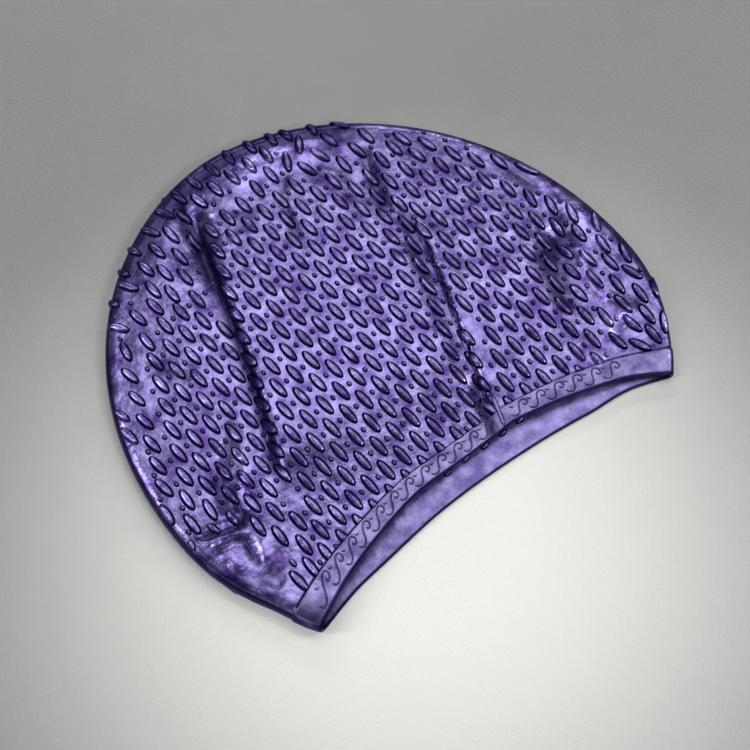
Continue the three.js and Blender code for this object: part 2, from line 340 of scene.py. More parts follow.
def painted_shading(points, dark_tone_and_painted_shade):
    """Painted shade of the upper layer at plan points: darker along its folds and wrinkles, lighter on
    painted glints.
    """
    shade = np.zeros(len(points))
    painted_glint = np.zeros(len(points))
    for fold in FOLDS:
        right, share = to_chain(fold_line(fold), points)
        strip = smooth(-1.0, -0.2, -right) * (1 - smooth(0.55 * fold["band"], fold["band"], -right))
        shade = np.maximum(shade, fold["shade"] * ends(share, 0.12) * strip)
    for wrinkle in WRINKLES:
        amount = wrinkle["shade"] * near_wrinkle(wrinkle, points, 0.15)
        shade = shade + np.maximum(amount, 0)
        painted_glint = painted_glint + np.maximum(-amount, 0)
    return np.maximum(dark_tone_and_painted_shade + (1 - dark_tone_and_painted_shade) * np.minimum(shade, MOST_PAINTED_SHADE) - painted_glint, MOST_PAINTED_HIGHLIGHT)


def dip_depth(dip, points):
    angle = math.radians(dip["turn"])
    off = points - (dip["x"] * CAP_WIDTH, dip["y"] * CAP_DEPTH)
    along = (off[:, 0] * math.cos(angle) + off[:, 1] * math.sin(angle)) / (dip["long"] * ROLL_RADIUS)
    across = (off[:, 1] * math.cos(angle) - off[:, 0] * math.sin(angle)) / (dip["wide"] * ROLL_RADIUS)
    return dip["depth"] * ROLL_RADIUS * np.exp(-along**2 - across**2)


def roll_radius(points):
    """The roll tightens towards the right end of the mouth."""
    end = np.array([middle(0) + half_width(0), 0])
    distance = np.hypot(points[:, 0] - end[0], points[:, 1] - end[1])
    tighten = fall_off(distance, TIGHTEN_REACH * CAP_WIDTH)
    return ROLL_RADIUS - (ROLL_RADIUS - RIGHT_END_RADIUS) * tighten


def upper_height(points, inside, foot):
    """Height of the upper layer above the lower one."""
    fade = smooth(RELIEF_START, RELIEF_FULL, inside)
    rim_y, across = rim_row(1, points[:, 0], points[:, 1])
    flat = 1 - across**2
    mouth = flat * (1 - smooth(0, CAP_DEPTH * DROOP_REACH, rim_y))
    height = CENTRE_SWELL * flat - (MOUTH_DROOP + CENTRE_SWELL) * mouth
    for fold in FOLDS:
        height = height + fold_rise(fold, points)
    for dip in DIPS:
        height = height - dip_depth(dip, points)
    soft = smooth(1, 6, inside)
    for wrinkle in WRINKLES:
        depth = wrinkle["depth"] * near_wrinkle(wrinkle, points, 0.18)
        height = height - soft * depth / np.maximum(fade, 0.3)
    return (1 - fade) * 2 * roll_radius(foot) + fade * (2 * roll_radius(points) + height)


def on_skin(layer, points):
    """Crown skin at pattern points (x, y): flat inside the roll, wrapped round it beyond."""
    inside, foot, way = to_rim(points)
    radius = roll_radius(foot)
    turn = np.clip((radius - inside) / radius, 0, math.pi)
    wrapped = foot + way * (radius * (1 - np.sin(turn)))[:, None]
    flat = inside >= radius
    xy = np.where(flat[:, None], points, wrapped)
    if layer > 0:
        height = np.where(flat, upper_height(points, inside, foot), radius * (1 + np.cos(turn)))
    else:
        height = np.where(flat, 0, radius * (1 - np.cos(turn)))
    return np.c_[xy, BOTTOM + height]


def skin_frame(layer, points, step=0.15):
    """Skin position and outward normal at pattern points."""
    at = on_skin(layer, points)
    along_x = on_skin(layer, points + (step, 0)) - on_skin(layer, points - (step, 0))
    along_y = on_skin(layer, points + (0, step)) - on_skin(layer, points - (0, step))
    return at, unit(np.cross(along_x, along_y)) * layer


# Shell: the crown wall and hem in one closed body


def row_heights(spacing):
    y = CAP_DEPTH * np.sin(np.linspace(0, math.pi / 2, 2000))
    length = np.r_[0, np.cumsum(np.hypot(np.diff(y), np.diff(half_width(y))))]
    hem = [0, 0.12, 0.35, 0.7]
    hem += list(np.linspace(1.4, HEM_WIDTH - 0.9, max(2, round(HEM_WIDTH / spacing))))
    hem += [HEM_WIDTH - 0.4, HEM_WIDTH - 0.15, HEM_WIDTH, HEM_WIDTH + HEM_EDGE]
    start = np.interp(HEM_WIDTH + HEM_EDGE, y, length)
    count = round((length[-1] - start) / spacing)
    rest = np.interp(np.linspace(start, length[-1], count + 1)[1:], length, y)
    return np.r_[hem, rest]


def hem_proud(rim_y):
    """How far the outer face stands out: the hem's step, rounded at the mouth and at its line."""
    edge = 0.28 * (1 - np.sqrt(np.clip(1 - (1 - np.clip(rim_y / 0.7, 0, 1)) ** 2, 0, 1)))
    line = 0.14 * (1 - np.sqrt(np.clip(1 - (1 - np.clip((HEM_WIDTH - rim_y) / 0.4, 0, 1)) ** 2, 0, 1)))
    return np.where(rim_y <= HEM_WIDTH + 1e-6, HEM_RISE - edge - line, 0)


def hem_share(layer, turned):
    """Share of the hem's rise: on the under side its scroll takes up the rest."""
    return 1 if layer > 0 else 1 - SCROLL_RISE / HEM_RISE * turned


def way_in(layer, row, side, y, way):
    slope = row_sag(layer, y) * MOUTH_SAG_POWER / max(float(half_width(y)), WALL)
    along = np.array([-side, slope]) / math.hypot(1, slope)
    blend = 0 if row == 0 else float(smooth(0, CAP_DEPTH / 4, y))
    mixed = (1 - blend) * along + blend * way
    return mixed / (mixed @ way)


def build_skin(spacing, columns, roll_steps):
    heights = row_heights(spacing)
    last = len(heights) - 1
    left = np.c_[middle(heights) - half_width(heights), heights]
    right = np.c_[middle(heights) + half_width(heights), heights]
    rim = np.vstack([left, right[::-1][1:]])
    rows = list(range(last + 1)) + list(range(last - 1, -1, -1))
    along = np.empty_like(rim)
    along[1:-1] = rim[2:] - rim[:-2]
    along[0] = rim[1] - rim[0]
    along[-1] = rim[-1] - rim[-2]
    along = unit(along)
    inward = np.c_[along[:, 1], -along[:, 0]]
    points = []
    proud = []
    faces = []
    columns_of = []
    proud_of = hem_proud(heights)
    radii = roll_radius(rim)
    row_y = []
    for r, row in enumerate(rows):
        side = -1 if r <= last else 1
        ways = {s: way_in(s, row, side, heights[row], inward[r]) for s in (1, -1)}
        ids = []
        for k in range(roll_steps + 1):
            angle = math.pi * (0.5 - k / roll_steps)
            way = ways[1 if angle > 0 else -1]
            at = rim[r] + way * radii[r] * (1 - math.cos(angle))
            ids.append(len(points))
            points.append((at[0], at[1], BOTTOM + radii[r] * (1 + math.sin(angle))))
            row_y.append(heights[row])
            proud.append(proud_of[row] * hem_share(1 if angle > 0 else -1, abs(angle) / math.pi * 2))
        columns_of.append(ids)
    for r in range(len(rows) - 1):
        for k in range(roll_steps):
            a, b = columns_of[r][k], columns_of[r + 1][k]
            c, d = columns_of[r + 1][k + 1], columns_of[r][k + 1]
            faces.append((a, b, c))
            faces.append((a, c, d))
    layer_of = [0] * len(points)
    edges = {}
    for layer in (1, -1):
        step = 0 if layer > 0 else roll_steps
        lower = None
        for row in range(last + 1):
            first, final = columns_of[row][step], columns_of[len(rows) - 1 - row][step]
            if row == last:
                upper = [first]
            else:
                a, b = np.array(points[first]), np.array(points[final])
                count = max(1, round((b[0] - a[0]) / columns[layer]))
                share = np.arange(1, count) / count
                x = a[0] + (b[0] - a[0]) * share
                miss_a = a[1] - row_height(layer, heights[row], a[0])
                miss_b = b[1] - row_height(layer, heights[row], b[0])
                y = row_height(layer, heights[row], x) + miss_a * (1 - share) + miss_b * share
                upper = [first] + list(range(len(points), len(points) + count - 1)) + [final]
                points.extend(zip(x, y, [BOTTOM] * len(x)))
                proud.extend([proud_of[row] * hem_share(layer, 1)] * len(x))
                layer_of.extend([layer] * len(x))
                row_y.extend([heights[row]] * len(x))
            if lower is not None:
                i = j = 0
                while i < len(lower) - 1 or j < len(upper) - 1:
                    next_i = (i + 1) / max(len(lower) - 1, 1)
                    next_j = (j + 1) / max(len(upper) - 1, 1)
                    if j == len(upper) - 1 or (i < len(lower) - 1 and next_i <= next_j):
                        face = (lower[i], lower[i + 1], upper[j])
                        i += 1
                    else:
                        face = (lower[i], upper[j + 1], upper[j])
                        j += 1
                    faces.append(face if layer > 0 else (face[0], face[2], face[1]))
            lower = upper
            if row == 0:
                edges[layer] = upper
    points = np.array(points)
    faces = np.array(faces)
    up = np.array(layer_of) > 0
    inside, foot, _ = to_rim(points[up][:, :2])
    points[up, 2] = BOTTOM + upper_height(points[up][:, :2], inside, foot)
    # The mouth's edge as one ring: upper edge, right side, lower edge, left side
    ring = list(edges[1]) + columns_of[-1][1:] + list(edges[-1][::-1])[1:] + columns_of[0][::-1][1:-1]
    return points, faces, np.array(proud), ring, np.array(row_y)


def face_normals(points, faces):
    normals = np.zeros_like(points)
    a, b, c = points[faces[:, 0]], points[faces[:, 1]], points[faces[:, 2]]
    normal = np.cross(b - a, c - a)
    for k in range(3):
        np.add.at(normals, faces[:, k], normal)
    return unit(normals)


def stitch_rings(a, b, points):
    """Triangles between two closed rings with different counts, matched by their share of length."""
    def shares(ring):
        loop = points[ring + ring[:1]]
        length = np.r_[0, np.cumsum(np.linalg.norm(np.diff(loop, axis=0), axis=1))]
        return length / length[-1]
    share_a, share_b = shares(a), shares(b)
    i = j = 0
    faces = []
    while i < len(a) or j < len(b):
        if j == len(b) or (i < len(a) and share_a[i + 1] <= share_b[j + 1]):
            faces.append((a[(i + 1) % len(a)], a[i % len(a)], b[j % len(b)]))
            i += 1
        else:
            faces.append((b[j % len(b)], b[(j + 1) % len(b)], a[i % len(a)]))
            j += 1
    return faces


def pulled(points):
    """The points after the mouth's pulls."""
    points = np.asarray(points, float)
    high = smooth(*PULL_BETWEEN, points[:, 2])[:, None]
    moved = points.copy()
    for pull in MOUTH_PULLS:
        away = np.hypot(points[:, 0] - pull["x"], points[:, 1] - pull["y"])
        near = fall_off(away, PULL_SPREAD * pull["reach"])
        move = (1 - high) * np.array(pull["lower"], float) + high * np.array(pull["upper"], float)
        moved[:, :2] += near[:, None] * move
    return moved


# Frame of the model: the same box as the CAD solid


def to_model(points):
    """Millimetres in the cap's own plan to metres in the model's frame."""
    return (np.asarray(points, float) - PLAN_ORIGIN) / 1000


def add_object(name, data):
    obj = bpy.data.objects.new(name, data)
    bpy.context.scene.collection.objects.link(obj)
    return obj


def make_piece(name, points, faces, materials, dark_tone_and_painted_shade, slots=None):
    """A piece of the cap. Its darkness argument is painted shade at each point, a painted highlight below 0.
    slots: each face's material.
    """
    mesh = bpy.data.meshes.new(name)
    mesh.from_pydata([tuple(p) for p in to_model(pulled(points))], [], [tuple(f) for f in faces])
    mesh.update()
    for material in materials:
        mesh.materials.append(material)
    if slots is not None:
        mesh.polygons.foreach_set("material_index", np.asarray(slots, dtype=np.int32))
    mesh.polygons.foreach_set("use_smooth", [True] * len(mesh.polygons))
    shade = mesh.attributes.new("dark_tone_and_painted_shade", "FLOAT", "POINT")
    shade.data.foreach_set("value", np.asarray(dark_tone_and_painted_shade, dtype=np.float32))
    piece = add_object(name, mesh)
    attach(piece, "root")
    return piece


# Materials


class Nodes:
    def __init__(self, name):
        self.material = bpy.data.materials.new(name)
        self.material.use_nodes = True
        self.tree = self.material.node_tree
        self.tree.nodes.clear()
        self.out = self.add("ShaderNodeOutputMaterial")
        self.shader = self.add("ShaderNodeBsdfPrincipled")
        self.link(self.shader, "BSDF", self.out, "Surface")
        self.where = self.add("ShaderNodeTexCoord")

    def add(self, kind, inputs=None, **settings):
        node = self.tree.nodes.new(kind)
        for key, value in settings.items():
            setattr(node, key, value)
        for key, value in (inputs or {}).items():
            node.inputs[key].default_value = value
        return node

    def link(self, a, out, b, into):
        self.tree.links.new(a.outputs[out], b.inputs[into])

    def noise(self, scale, detail=3.0, rough=0.55):
        node = self.add("ShaderNodeTexNoise", {"Scale": scale, "Detail": detail, "Roughness": rough})
        self.link(self.where, "Object", node, "Vector")
        return node

    def ramp(self, source, out, stops):
        node = self.add("ShaderNodeValToRGB")
        ramp = node.color_ramp
        ramp.elements[0].position, ramp.elements[0].color = stops[0][0], (*stops[0][1], 1)
        ramp.elements[1].position, ramp.elements[1].color = stops[-1][0], (*stops[-1][1], 1)
        for position, colour in stops[1:-1]:
            ramp.elements.new(position).color = (*colour, 1)
        self.link(source, out, node, "Fac")
        return node

    def between(self, source, out, low, high, to_low, to_high):
        node = self.add("ShaderNodeMapRange",
                        {"From Min": low, "From Max": high, "To Min": to_low, "To Max": to_high})
        self.link(source, out, node, "Value")
        return node

    def bump(self, source, out, distance, before=None):
        node = self.add("ShaderNodeBump", {"Distance": distance, "Strength": 1.0})
        self.link(source, out, node, "Height")
        if before is not None:
            self.link(before, "Normal", node, "Normal")
        return node


# Painted shade: the colour and metallic that the skin is mixed towards where shade is painted, on steep
# walls, in folds and creases and at the lip
PAINTED_SHADE_COLOUR = (0.006, 0.001, 0.04)
PAINTED_SHADE_METAL = 0.65

# Sockets of a colour mix node
MIX_A = 6
MIX_B = 7
MIX_RESULT = 2


def pearl(name, dark_tone_and_painted_shade, light, rough, metal, grain_bump, wave_bump, coat):
    """Pearly moulded rubber: metal-like flakes in a purple body, with fine grain and soft waves."""
    n = Nodes(name)
    patch = n.noise(150, 4, 0.58)
    flake = n.noise(2600, 2)
    wave = n.noise(110)
    broad = n.ramp(patch, "Fac", [(0.36, dark_tone_and_painted_shade), (0.66, light)])
    flakes = n.ramp(flake, "Fac", [(0.35, (0.72, 0.72, 0.72)), (0.62, (1.0, 1.0, 1.0)),
                                   (0.78, (1.45, 1.4, 1.3))])
    mix = n.add("ShaderNodeMix", {"Factor": 1.0}, data_type="RGBA", blend_type="MULTIPLY")
    n.link(broad, "Color", mix, MIX_A)
    n.link(flakes, "Color", mix, MIX_B)
    # The point attribute carries painted shade: it mixes the colour towards the painted shade colour, and
    # below 0 lightens it as a painted highlight
    shade = n.add("ShaderNodeAttribute", attribute_name="dark_tone_and_painted_shade")
    painted_shade_mix = n.add("ShaderNodeMix", {MIX_B: (*PAINTED_SHADE_COLOUR, 1)}, data_type="RGBA", clamp_factor=False)
    n.link(shade, "Fac", painted_shade_mix, "Factor")
    n.link(mix, MIX_RESULT, painted_shade_mix, MIX_A)
    n.link(painted_shade_mix, MIX_RESULT, n.shader, "Base Color")
    roughness = n.between(flake, "Fac", 0.3, 0.75, rough - 0.05, rough + 0.07)
    n.link(roughness, "Result", n.shader, "Roughness")
    # Metallic falls towards the painted shade's value where shade is painted
    flat = n.between(shade, "Fac", 0.0, 1.0, metal, PAINTED_SHADE_METAL)
    n.link(flat, "Result", n.shader, "Metallic")
    n.shader.inputs["Specular IOR Level"].default_value = 0.25
    n.shader.inputs["Coat Weight"].default_value = coat
    n.shader.inputs["Coat Roughness"].default_value = 0.16
    n.shader.inputs["Specular Tint"].default_value = (0.5, 0.4, 1.0, 1)
    soft = n.bump(wave, "Fac", wave_bump)
    fine = n.bump(flake, "Fac", grain_bump, before=soft)
    n.link(fine, "Normal", n.shader, "Normal")
    return n.material


CROWN = pearl("crown_pearl", (0.085, 0.05, 0.24), (0.35, 0.29, 0.67), rough=0.29, metal=0.92,
              grain_bump=0.00002, wave_bump=0.0008, coat=0.14)
HEM = pearl("hem_satin", (0.12, 0.09, 0.26), (0.32, 0.275, 0.56), rough=0.31, metal=0.88,
            grain_bump=0.00006, wave_bump=0.0005, coat=0.08)
INNER = pearl("inner_satin", (0.13, 0.1, 0.3), (0.32, 0.27, 0.59), rough=0.31, metal=0.88,
              grain_bump=0.00005, wave_bump=0.0006, coat=0.08)

# Shell mesh

# Grids in mm: spacing between rows, spacing across the upper (1) and lower (-1) layer, steps of the roll
FINEST = 1.0
OUTER_GRID = dict(spacing=FINEST, columns={1: FINEST, -1: 2.6}, roll_steps=24)
INNER_GRID = dict(spacing=3.2, columns={1: 3.0, -1: 4.0}, roll_steps=14)
EDGE_WALL = 0.75
# Shade is painted on steep faces, growing from the second number to the first, which is a share of a level
# face's upward normal
RELIEF_LEVEL = (0.42, 0.86)
ROLL_LEVEL = (0.7, 0.95)
# Painted shade on the roll's steep sides and along the hem's line, and the share of the folds' painted shade
# that the hem takes
ROLL_PAINTED_SHADE = 0.94
HEM_LINE_PAINTED_SHADE = 0.85
HEM_PAINTED_SHADE_SHARE = 0.7
# Rows this close to the mouth's edge are painted dark as the shade of the mouth's gap, in mm, outside and
# inside
LIP_OUTSIDE = 0.75
LIP_INSIDE = 0.8

outer, outer_faces, proud, outer_ring, outer_row = build_skin(**OUTER_GRID)
outer_normals = face_normals(outer, outer_faces)
outer = outer + outer_normals * proud[:, None]
own_low, own_high = outer.min(0), outer.max(0)
PLAN_ORIGIN = np.array([(own_low[0] + own_high[0]) / 2, (own_low[1] + own_high[1]) / 2, 0])

inner, inner_faces, _, inner_ring, inner_row = build_skin(**INNER_GRID)
inner = inner - face_normals(inner, inner_faces) * np.where(inner_row < 0.05, EDGE_WALL, WALL)[:, None]
count = len(outer)
shell_points = np.vstack([outer, inner])
lip = stitch_rings(outer_ring, [count + i for i in inner_ring], shell_points)
shell_faces = [tuple(face) for face in outer_faces]
shell_faces += [(count + a, count + c, count + b) for a, b, c in inner_faces]
shell_faces += lip
hem_face = (outer_row[outer_faces] < HEM_WIDTH + 0.01).all(1)
slots = list(np.where(hem_face, 1, 0)) + [2] * (len(inner_faces) + len(lip))

# Painted shade on the shell: steep faces of the relief and the roll, the hem's line, the folds and wrinkles
# with their painted glints, and the mouth's lip
level = np.abs(outer_normals[:, 2])
in_relief = to_rim(outer[:, :2])[0] > ROLL_RADIUS
on_roll = ROLL_PAINTED_SHADE * (1 - smooth(*ROLL_LEVEL, level))
shell_painted_shade = np.where(in_relief, 1 - smooth(*RELIEF_LEVEL, level), on_roll)
hem_line = (outer_row > HEM_WIDTH - 0.01) & (outer_row < HEM_WIDTH + HEM_EDGE + 0.01)
shell_painted_shade = np.maximum(shell_painted_shade, HEM_LINE_PAINTED_SHADE * hem_line)
on_top = np.where(outer[:, 2] > BOTTOM + ROLL_RADIUS, 1, 0)
on_top = on_top * np.where(outer_row < HEM_WIDTH, HEM_PAINTED_SHADE_SHARE, 1)
shell_painted_shade = shell_painted_shade + on_top * (painted_shading(outer[:, :2], shell_painted_shade) - shell_painted_shade)
shell_painted_shade = np.r_[np.where(outer_row < LIP_OUTSIDE, 1, shell_painted_shade), np.where(inner_row < LIP_INSIDE, 1, 0)]
shell = make_piece("shell", shell_points, shell_faces, [CROWN, HEM, INNER], shell_painted_shade, slots)
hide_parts("cap")


# Raised ovals and dots


def polar(length, degrees):
    angle = math.radians(degrees)
    return np.array([length * math.cos(angle), length * math.sin(angle)])


# Rings of a lump from its sunk foot to its top: inset in mm, height as a share of its rise, and painted
# shade, which draws a dark outline on the walls
OVAL_RINGS = [
    (-0.2, -0.3, 1), (-0.2, 0.03, 1), (0, 0.08, 1), (0.16, 0.26, 1), (0.34, 0.55, 1), (0.54, 0.8, 1),
    (0.74, 0.92, 0.95), (0.96, 1.0, 0.2), (1.25, 1.1, 0), (1.55, 1.17, 0), (1.85, 1.2, 0)]
DOT_RINGS = [
    (-0.16, -0.3, 1), (-0.16, 0.03, 1), (0, 0.1, 1), (0.18, 0.45, 1), (0.4, 0.85, 0.95), (0.6, 1.0, 0.4)]

# Lumps in mm: half length, half width and rise
OVAL = dict(long=5.15, wide=1.95, rise=1.0, rings=OVAL_RINGS)
DOT = dict(long=1.2, wide=0.9, rise=0.7, rings=DOT_RINGS)
NUB = dict(long=2.0, wide=1.1, rise=0.8, rings=DOT_RINGS)

# One pattern field on each side of the two long folds: a known oval, the step along a row and
# the step to the next row (length in mm, direction in degrees), and the ovals' own direction
FIELDS = [
    dict(name="middle", start=(-16.5, 83.1), along=(8.95, -172.3), down=(10.07, -108.8), turn=97),
    dict(name="left", start=(-16.7, 83.56), along=(8.76, -171.0), down=(10.15, -109.4), turn=97),
    dict(name="right", start=(54.3, 57.3), along=(9.0, -175.3), down=(10.13, -112.1), turn=95),
]


def beyond(fold, points):
    """How far right of a fold's line, taken as a function of y and carried on past its ends."""
    chain = fold_line(fold)
    chain = chain[np.argsort(chain[:, 1])]
    return points[:, 0] - np.interp(points[:, 1], chain[:, 1], chain[:, 0])


# Ovals near the rim, which the pattern fields don't reach: place in the photo in pixels, tilt of
# the long axis below the photo's horizontal in degrees, and a small or large oval's share of full size
RIM_OVALS = [
    dict(side="left", marks=[
        (128, 287, 18), (118, 328, 15), (126, 352, 62, 0.95), (130, 376, 40, 0.95),
        (137, 399, 40, 0.9), (145, 422, 40, 0.95), (152, 444, 46), (158, 466, 46), (164, 488, 44),
        (122, 416, 35, 0.8), (129, 436, 42), (167, 515, 55), (138, 318, 42), (147, 342, 50),
        (155, 307, 44), (153, 290, 48), (146, 269, 42), (157, 251, 42), (150, 232, 20), (164, 214, 22),
        (171, 235, 46), (165, 273, 45), (180, 257, 48), (185, 277, 48), (172, 294, 50), (183, 217, 38),
        (195, 244, 50)]),
    dict(side="upper_left", marks=[
        (178, 197, 38), (194, 183, 38), (212, 170, 40), (228, 157, 50), (199, 201, 38), (215, 189, 40),
        (232, 177, 42), (249, 165, 48), (249, 146, 42), (270, 138, 38), (285, 134, 32), (311, 128, 24),
        (339, 125, 10), (133, 251, 20, 0.9), (122, 273, 14, 0.9), (112, 304, 12, 0.9), (266, 155, 52),
        (257, 189, 50), (271, 175, 48), (287, 162, 76), (299, 145, 84), (307, 169, 35), (320, 155, 32),
        (329, 140, 35)]),
    dict(side="upper_right", marks=[
        (366, 136, 42), (357, 150, 42), (344, 165, 48), (382, 160, 48), (394, 148, 42), (402, 139, 36),
        (417, 155, 38), (427, 144, 36), (441, 165, 46), (453, 154, 42), (463, 173, 46), (476, 160, 42),
        (485, 181, 46), (499, 162, 42)]),
    dict(side="right", marks=[
        (508, 189, 48), (530, 198, 58), (551, 205, 60), (572, 213, 62), (596, 222, 75), (603, 244, 55),
        (625, 253, 62), (579, 233, 52), (557, 228, 55), (610, 262, 46), (632, 272, 32),
        (527, 169, 25, 1.2), (654, 287, 72), (640, 293, 52), (617, 284, 52), (623, 304, 42),
        (647, 314, 50), (664, 322, 80), (632, 324, 40), (653, 334, 50), (640, 345, 25), (618, 341, 42),
        (605, 317, 50)]),
    dict(side="lower_left", marks=[
        (187, 500, 55), (210, 510, 58), (192, 524, 50), (232, 518, 50, 0.75), (214, 529, 35, 0.6),
        (258, 526, 55), (280, 536, 52), (304, 545, 52), (293, 563, 50, 0.4), (299, 580, 42),
        (311, 567, 50), (326, 553, 52), (192, 545, 60, 0.45)]),
]

# Where the pattern fields end, in mm: this far inside the rim, past the hem's line, and clear of the
# smooth patch at lower left
UPPER_MARGIN = 9.5
UNDER_MARGIN = 1.0
DOT_MARGIN = 3.5
OVAL_PAST_HEM = -3.4
DOT_PAST_HEM = 0.8
SMOOTH_PATCH = dict(x=-98, y=33, reach=22)

# Least distances in mm: between the middles of two ovals and of two dots, and from a dot's middle to
# an oval's end and side
OVAL_GAP = 7.3
DOT_GAP = 4.0
DOT_TO_END = 1.4
DOT_TO_SIDE = 1.2


def on_upper(pixels):
    """Pattern points of the upper layer that lie at these photo pixels."""
    pixels = np.asarray(pixels, float)
    points = seen_at(pixels, np.full(len(pixels), TOP))
    outermost = ROLL_RADIUS * (1 - math.pi / 2)
    for _ in range(20):
        at = on_skin(1, points)
        points = points + 0.7 * (seen_at(pixels, at[:, 2]) - at[:, :2])
        inside, foot, way = to_rim(points)
        points = np.where((inside < outermost)[:, None], foot + way * outermost, points)
    return points


def rim_marks():
    rows = np.array([(*mark, 1.0)[:4] for side in RIM_OVALS for mark in side["marks"]])
    centres = on_upper(rows[:, :2])
    tilt = np.radians(rows[:, 2])
    step = 4 * np.c_[np.cos(tilt), np.sin(tilt)]
    long_axis = on_upper(rows[:, :2] + step) - on_upper(rows[:, :2] - step)
    turn = np.degrees(np.arctan2(long_axis[:, 1], long_axis[:, 0]))
    return [(c[0], c[1], t, size) for c, t, size in zip(centres, turn, rows[:, 3])]


def field_points(field):
    start, along, down = np.array(field["start"]), polar(*field["along"]), polar(*field["down"])
    steps = np.arange(-40, 41)
    i, j = np.meshgrid(steps, steps, indexing="ij")
    return start + i.reshape(-1, 1) * down + j.reshape(-1, 1) * along, along


def in_field(name, layer, points):
    """The upper layer's fields meet at the long folds, and the lower layer has one field."""
    if layer < 0:
        return np.full(len(points), name == "middle")
    left, right = beyond(FOLDS[0], points), beyond(FOLDS[1], points)
    return {"middle": (left > -1) & (right < 1), "left": left <= -1, "right": right >= 1}[name]


def kept_points(points, layer, margin, past_hem):
    """The points inside the rim, off the hem and clear of the smooth patch."""
    inside, _, _ = to_rim(points)
    rim_y, _ = rim_row(layer, points[:, 0], points[:, 1])
    patch = np.hypot(points[:, 0] - SMOOTH_PATCH["x"], points[:, 1] - SMOOTH_PATCH["y"])
    clear = (patch > SMOOTH_PATCH["reach"]) | (layer < 0)
    return points[(inside > margin) & (rim_y > HEM_WIDTH + past_hem) & clear]


def chart(layer):
    """Centres and directions of the ovals and dots on one layer."""
    ovals, dots = [], []
    oval_margin = UPPER_MARGIN if layer > 0 else UNDER_MARGIN
    for field in FIELDS:
        centres, along = field_points(field)
        kinds = ((ovals, centres, oval_margin, OVAL_PAST_HEM),
                 (dots, centres + along / 2, DOT_MARGIN, DOT_PAST_HEM))
        for found, points, margin, past_hem in kinds:
            near_box = (np.abs(points[:, 0]) < 130) & (points[:, 1] > 0) & (points[:, 1] < CAP_DEPTH + 12)
            points = points[near_box]
            points = points[in_field(field["name"], layer, points)]
            points = kept_points(points, layer, margin, past_hem)
            found.extend((x, y, field["turn"], 1.0) for x, y in points)
    return ovals, dots


def thin_out(marks, taken, gap):
    kept = []
    for mark in marks:
        others = taken + kept
        if all((mark[0] - o[0]) ** 2 + (mark[1] - o[1]) ** 2 > gap**2 for o in others):
            kept.append(mark)
    return kept


def touches(dot, oval):
    x, y, degrees, size = oval
    dx, dy = dot[0] - x, dot[1] - y
    a = math.radians(degrees)
    u = dx * math.cos(a) + dy * math.sin(a)
    v = dy * math.cos(a) - dx * math.sin(a)
    return (u / (OVAL["long"] * size + DOT_TO_END)) ** 2 + (v / (OVAL["wide"] + DOT_TO_SIDE)) ** 2 < 1


def clear_of(dots, ovals):
    return [dot for dot in dots if not any(touches(dot, oval) for oval in ovals)]


def lump_rings(kind, segments):
    """Rings of one lump: offsets in its own plane and heights, from the sunk foot to the top."""
    angle = np.arange(segments) / segments * 2 * math.pi
    offsets, heights = [], []
    for inset, height, _ in kind["rings"]:
        a, b = max(kind["long"] - inset, 0.02), max(kind["wide"] - inset, 0.01)
        offsets.append(np.c_[a * np.cos(angle), b * np.sin(angle)])
        heights.append(np.full(segments, height * kind["rise"]))
    return np.vstack(offsets), np.concatenate(heights)


def lump_faces(rings, segments):
    faces = []
    for r in range(rings - 1):
        for s in range(segments):
            t = (s + 1) % segments
            faces.append((r * segments + s, r * segments + t, (r + 1) * segments + t, (r + 1) * segments + s))
    faces.append(tuple((rings - 1) * segments + s for s in range(segments)))
    faces.append(tuple(range(segments))[::-1])
    return faces


# How far a lump's top lies off its foot, in mm
LUMP_LEAN = np.array([0.16, 0.05])
# The cap's weight presses the lumps of the under side flat, in mm above the floor
PRESSED_TO = 0.03
# Painted shade on a lump's steep faces, and the share of the folds' and wrinkles' painted shade that lumps
# take
LUMP_PAINTED_SHADE = 0.8
LUMP_PAINTED_SHADE_SHARE = 0.9


def lumps(name, layer, marks, kind, segments, lie=skin_frame):
    """One piece of lumps of a kind. marks: each lump's place, direction and size."""
    draped = lie is skin_frame
    offsets, heights = lump_rings(kind, segments)
    lean = np.clip(heights / kind["rise"], 0, 1)[:, None] * (LUMP_LEAN if draped else (0, 0))
    per = len(offsets)
    plan = np.empty((len(marks) * per, 2))
    for m, (x, y, degrees, size) in enumerate(marks):
        a = math.radians(degrees)
        turn = np.array([[math.cos(a), math.sin(a)], [-math.sin(a), math.cos(a)]])
        plan[m * per:(m + 1) * per] = (offsets * (size, min(1.0, 0.3 + 0.7 * size))) @ turn + (x, y) + lean
    if draped:
        plan[:, 1] = np.maximum(plan[:, 1], row_height(layer, HEM_WIDTH + HEM_EDGE, plan[:, 0]))
    at, normal = lie(layer, plan)
    points = at + normal * np.tile(heights, len(marks))[:, None]
    points[:, 2] = np.maximum(points[:, 2], PRESSED_TO)
    one = lump_faces(len(kind["rings"]), segments)
    if layer < 0:
        one = [face[::-1] for face in one]
    faces = [tuple(m * per + v for v in face) for m in range(len(marks)) for face in one]
    # Painted shade: the rings' dark outline, steep faces, and the folds' and wrinkles' painted shade and
    # glints
    dark_tone_and_painted_shade = np.tile(np.repeat([ring[2] for ring in kind["rings"]], segments), len(marks))
    dark_tone_and_painted_shade = np.maximum(dark_tone_and_painted_shade, LUMP_PAINTED_SHADE * (1 - smooth(*RELIEF_LEVEL, np.abs(normal[:, 2]))))
    if layer > 0 and draped:
        dark_tone_and_painted_shade = dark_tone_and_painted_shade + LUMP_PAINTED_SHADE_SHARE * (painted_shading(plan, dark_tone_and_painted_shade) - dark_tone_and_painted_shade)
    return make_piece(name, points, faces, [CROWN], dark_tone_and_painted_shade)


